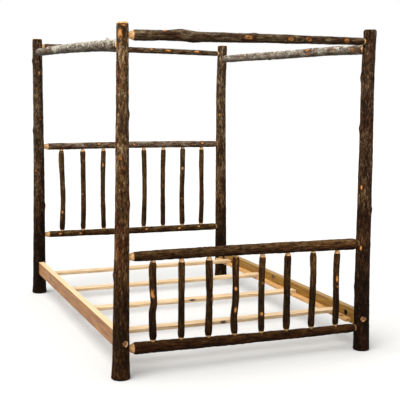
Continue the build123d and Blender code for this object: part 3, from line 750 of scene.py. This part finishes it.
# whittled ends: straight cone, round shoulder, softened cone and cone with a blunt shoulder
CONE, ROUND, SOFT, BLUNT = (1.1, 0.95), (0.4, 0.22), (0.6, 0.4), (0.8, 0.66)
logs.update({
    "canopy_rail_foot": Log(
        tone=(1.6, 1.55, 1.5), ends=(BLUNT, ROUND), **POLE, bends=((0.18, 0.003), (0.3, -0.002)),
        scars=((0.157, 62, 0.020, 0.010, 0.001), (0.473, 4, 0.030, 0.014, 0.0025),
               (0.644, 0, *BRANCH_KNOT), (0.719, 0, *BRANCH_KNOT), (0.883, -4, *BRANCH_KNOT)),
        swellings=((0.22, 80, 0.05, 0.03, 0.008), (0.27, -60, 0.04, 0.03, 0.006), (0.5, 60, *BUMP))),
    "canopy_rail_head": Log(
        tone=(1.95, 1.85, 1.75), ends=(SOFT, ROUND), **POLE,
        scars=((0.59, 25, *FLECK), (0.68, 15, *LONG_FLECK), (0.843, 20, *LONG_FLECK))),
    "canopy_rail_left": Log(
        tone=(1.5, 1.45, 1.4), ends=(SOFT, ROUND), **POLE,
        crust=((0.0, 0.97), (0.60, 0.97), (0.64, 1.15), (0.70, 1.15), (0.73, 0.88), (1.0, 0.88)),
        swellings=((0.125, 80, 0.007, 0.007, 0.014), (0.42, -30, *BUMP), (0.8, 60, *BUMP))),
    "canopy_rail_right": Log(
        tone=(2.1, 2.05, 2.0), ends=(SOFT, ROUND), **POLE, bends=((0.2, 0.003), (0.5, -0.003)),
        crust=((0.0, 0.75), (0.08, 0.75), (0.10, 0.88), (1.0, 0.88)),
        scars=((0.327, 35, 0.034, 0.013, 0.0), (0.030, 20, *KNOT), (0.070, 0, *BRANCH_KNOT)),
        swellings=((0.25, -25, 0.012, 0.012, 0.012), (0.6, -60, *BUMP))),
    "headboard_top_rail": Log(
        tone=(3.3, 3.5, 4.4), ends=(CONE, ROUND), **POLE,
        scars=((0.311, 30, *FLECK), (0.498, 10, *FLECK), (0.874, 20, *FLECK))),
    "headboard_bottom_rail": Log(
        tone=(4.1, 4.0, 3.2), ends=(CONE, ROUND), **POLE,
        scars=((0.11, 10, *FLECK), (0.213, 0, *FLECK), (0.563, 20, *FLECK), (0.748, 10, *FLECK),
               (0.857, 25, *FLECK))),
    "footboard_top_rail": Log(
        tone=(1.6, 1.38, 1.05), crust=((0.0, 1.06), (1.0, 1.06)), ends=(BLUNT, ROUND), **ROUGH_POLE,
        light=((0.0, 1.0), (0.35, 0.78), (0.52, 0.95), (0.75, 1.5), (1.0, 1.35))),
    "footboard_bottom_rail": Log(
        tone=(2.85, 2.2, 1.35), crust=((0.0, 1.06), (1.0, 1.06)), ends=(BLUNT, ROUND), **ROUGH_POLE),
})

SIDE = -20                     # bearing of the marks that most sticks show
stick_bends = {
    "footboard_spindle_1": ((0.37, -0.001), (0.47, 0.009), (0.66, 0.002), (0.82, -0.003)),
    "footboard_spindle_4": ((0.25, -0.010), (0.45, 0.001), (0.8, -0.002)),
    "headboard_spindle_4": ((0.2, -0.006), (0.6, 0.003)),
    "headboard_spindle_1": ((0.4, 0.005), (0.8, -0.003)),
}
stick_scars = {
    "footboard_spindle_1": ((0.59, SIDE - 20, 0.034, 0.017, -0.001),),
    "footboard_spindle_3": ((0.48, 60, 0.020, 0.016, 0.004),),
    "footboard_spindle_4": ((0.58, SIDE, 0.014, 0.010, 0.0), (0.34, SIDE + 15, 0.022, 0.009, 0.0)),
    "footboard_spindle_5": ((0.27, SIDE, 0.014, 0.012, 0.0), (0.62, SIDE + 20, *KNOT)),
    "footboard_spindle_8": ((0.62, SIDE + 10, 0.030, 0.009, 0.0), (0.52, SIDE + 25, *KNOT)),
    "headboard_spindle_1": ((0.25, SIDE, 0.016, 0.012, 0.0),),
    "headboard_spindle_2": ((0.45, SIDE - 10, *KNOT),),
    "headboard_spindle_3": ((0.78, SIDE, 0.022, 0.012, 0.0),),
    "headboard_spindle_7": ((0.72, SIDE, 0.018, 0.012, 0.0), (0.36, SIDE, *KNOT)),
}
STICK_TONE = {"headboard": (2.5, 2.5, 2.3), "footboard": (3.0, 3.1, 2.7)}
STICK_FOOT = (0.42, 0.3)
for row in ("headboard", "footboard"):
    for number in range(1, 9):
        node = f"{row}_spindle_{number}"
        # no two sticks are cut or grown quite alike
        tip = 0.45 + 0.2 * math.sin(2.1 * number + len(row))
        wander = ((0.3, 0.003 * math.sin(4.1 * number)), (0.7, 0.003 * math.cos(2.7 * number)))
        logs[node] = Log(tone=STICK_TONE[row], ends=(STICK_FOOT, (0.6, tip)), **STICK,
                         bends=stick_bends.get(node, wander), scars=stick_scars.get(node, ()))

for node, log in sorted(logs.items()):
    make_log(node, log)


# ------------------------------------------------------------------ sawn boards and hardware
for node, piece in frame["nodes"].items():
    if node not in logs:
        piece.data.materials.clear()
        piece.data.materials.append(finishes[slot_of[node]])


# ------------------------------------------------------------------ floor, light and camera
def floor():
    """A wide floor, which isn't part of the bed."""
    mesh = bpy.data.meshes.new("floor")
    half = 60.0
    mesh.from_pydata([(-half, -half, 0), (half, -half, 0), (half, half, 0), (-half, half, 0)], [],
                     [(0, 1, 2, 3)])
    slab = bpy.data.objects.new("floor", mesh)
    # matt emulsion paint: pale, dull and even, so that it only takes the bed's shadow
    mesh.materials.append(new_finish("matt_white_floor", Roughness=0.9, Base_Color=linear("#b9b8b6"))[0])
    bpy.context.scene.collection.objects.link(slab)


def overhead_light(came_from, strength, spread):
    """One very wide, soft light from high up, the same over the whole floor."""
    lamp = bpy.data.lights.new("overhead", "SUN")
    lamp.energy, lamp.angle = strength, math.radians(spread)
    holder = bpy.data.objects.new("overhead", lamp)
    holder.rotation_euler = (-Vector(came_from)).to_track_quat("-Z", "Y").to_euler()
    bpy.context.scene.collection.objects.link(holder)


def camera(stand, turns, focal_mm):
    """A long lens that stands at a point, turned by its yaw, pitch and roll in degrees."""
    lens = bpy.data.cameras.new("camera")
    lens.sensor_width, lens.lens = 36.0, focal_mm
    lens.clip_end = 200.0
    holder = bpy.data.objects.new("camera", lens)
    yaw, pitch, roll = (math.radians(turn) for turn in turns)
    ahead = Vector((math.sin(yaw) * math.cos(pitch), math.cos(yaw) * math.cos(pitch), math.sin(pitch)))
    right = Vector((math.cos(yaw), -math.sin(yaw), 0))
    above = right.cross(ahead)
    right, above = (right * math.cos(roll) + above * math.sin(roll),
                    above * math.cos(roll) - right * math.sin(roll))
    facing = Matrix((right, above, -ahead)).transposed().to_4x4()
    holder.matrix_world = Matrix.Translation(stand) @ facing
    bpy.context.scene.collection.objects.link(holder)
    bpy.context.scene.camera = holder


floor()
overhead_light((-1.9, -0.9, 3.0), 4.9, 60)
camera((-1.9998, -5.148, 1.5015), (22.42, -7.466, 0.621), 77.69)
scene = bpy.context.scene
scene.world = bpy.data.worlds.new("studio")
scene.world.use_nodes = True
scene.world.node_tree.nodes["Background"].inputs["Color"].default_value = linear("#ffffff")
scene.world.node_tree.nodes["Background"].inputs["Strength"].default_value = 1.0
scene.view_settings.view_transform = "Standard"
